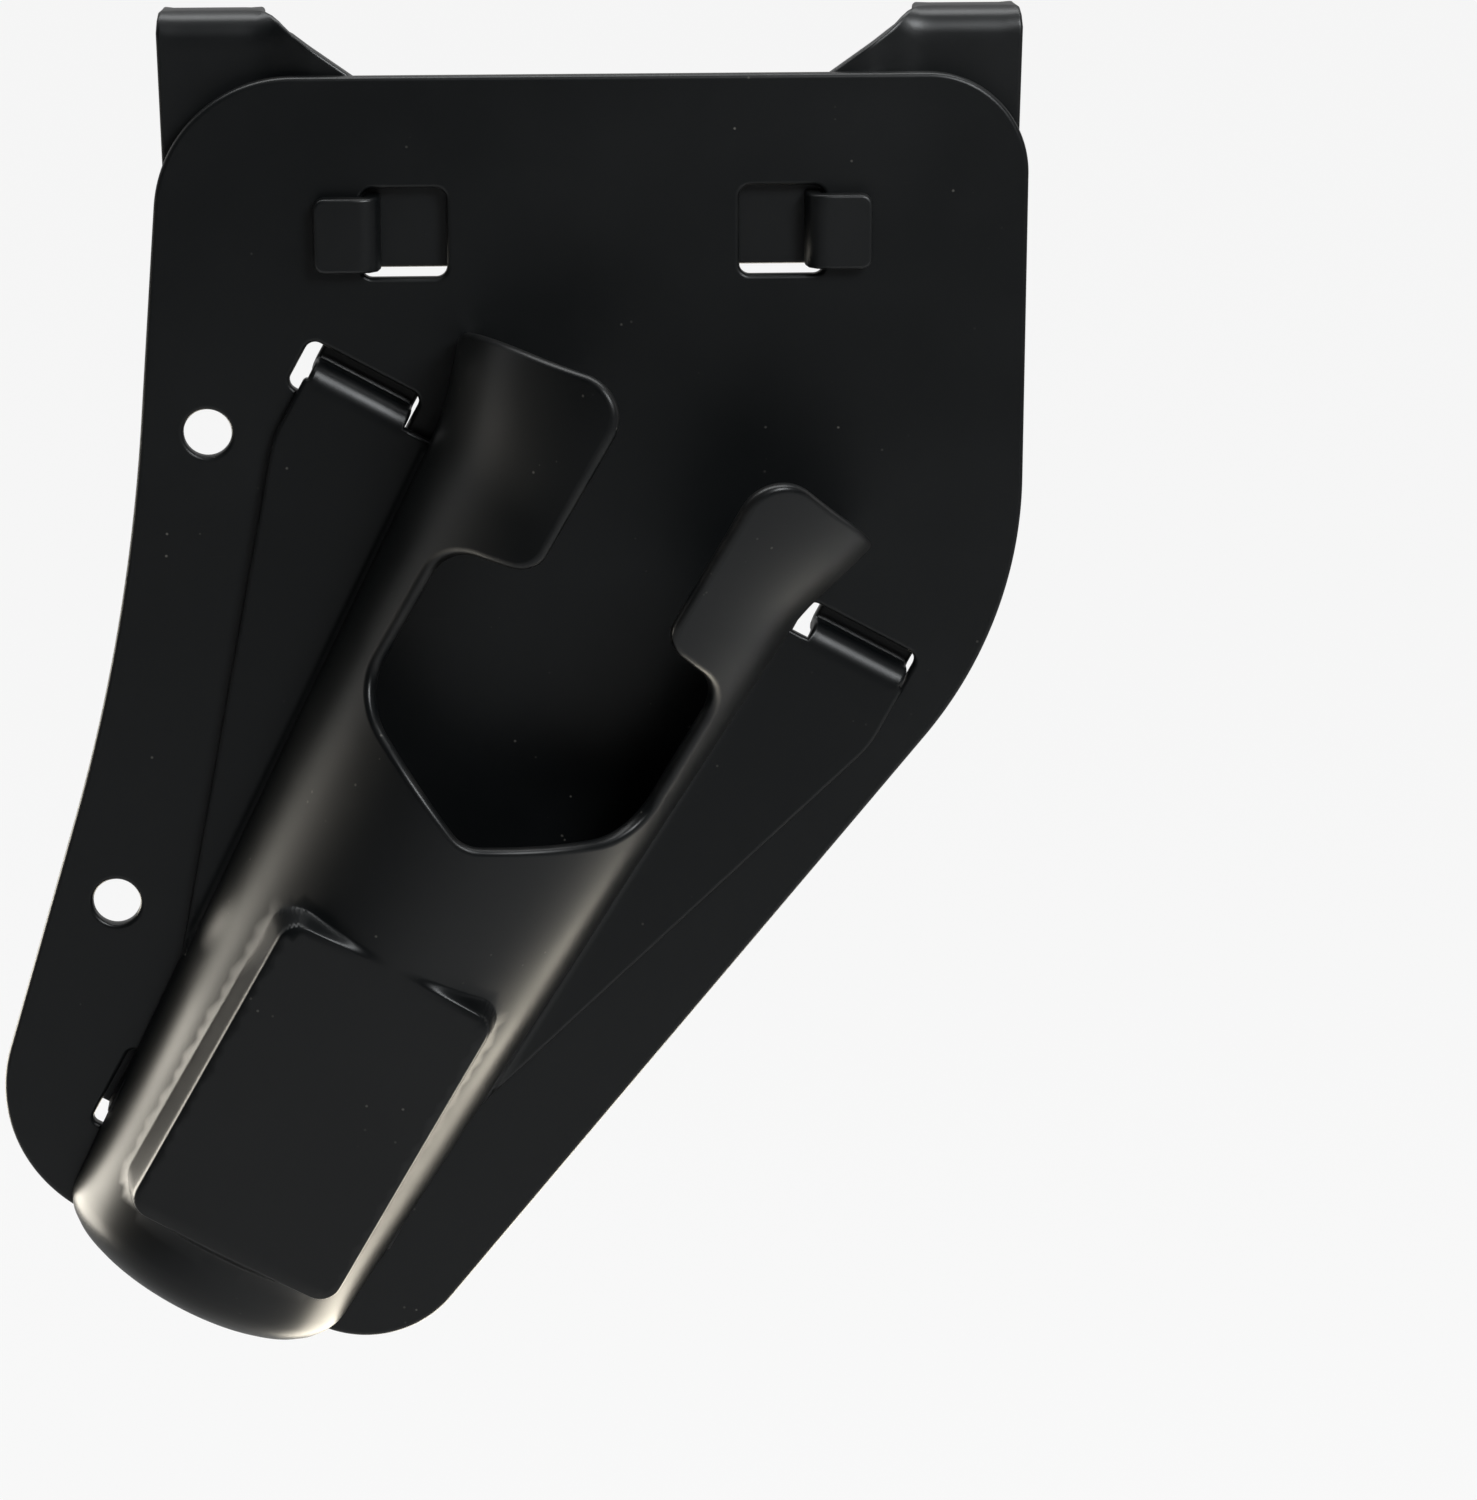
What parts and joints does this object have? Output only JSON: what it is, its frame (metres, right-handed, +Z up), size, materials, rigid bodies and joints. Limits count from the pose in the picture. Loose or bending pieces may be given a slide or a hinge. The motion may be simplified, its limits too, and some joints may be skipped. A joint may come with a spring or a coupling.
{
  "type": "belt rod holder",
  "caption": "Belt-worn rod holder: flat plate, slanted tapered cradle with curled lips and reel window, and a rear clip that hooks over a belt.",
  "frame": {"origin": "middle of the belt channel, on the centre line between the two belt hooks", "axes": "+Z up as worn, +X to the right of a viewer who faces the front, and the front faces -Y; the body of the wearer is on the +Y side"},
  "size_m": [0.1959, 0.0654, 0.2591],
  "materials": {
    "sheet_plastic": "satin, finely grained",
    "cradle_plastic": "satin",
    "clip_plastic": "satin"
  },
  "bodies": {
    "root": {"back_plate": "sheet_plastic", "belt_clip": "clip_plastic"},
    "cradle": {"rod_cradle": "cradle_plastic"}
  },
  "joints": [
    {"name": "cradle_slide", "type": "slide", "parent": "root", "child": "cradle", "axis": [0.4817, 0, 0.8763], "range_m": [-0.0034, 0]}
  ]
}
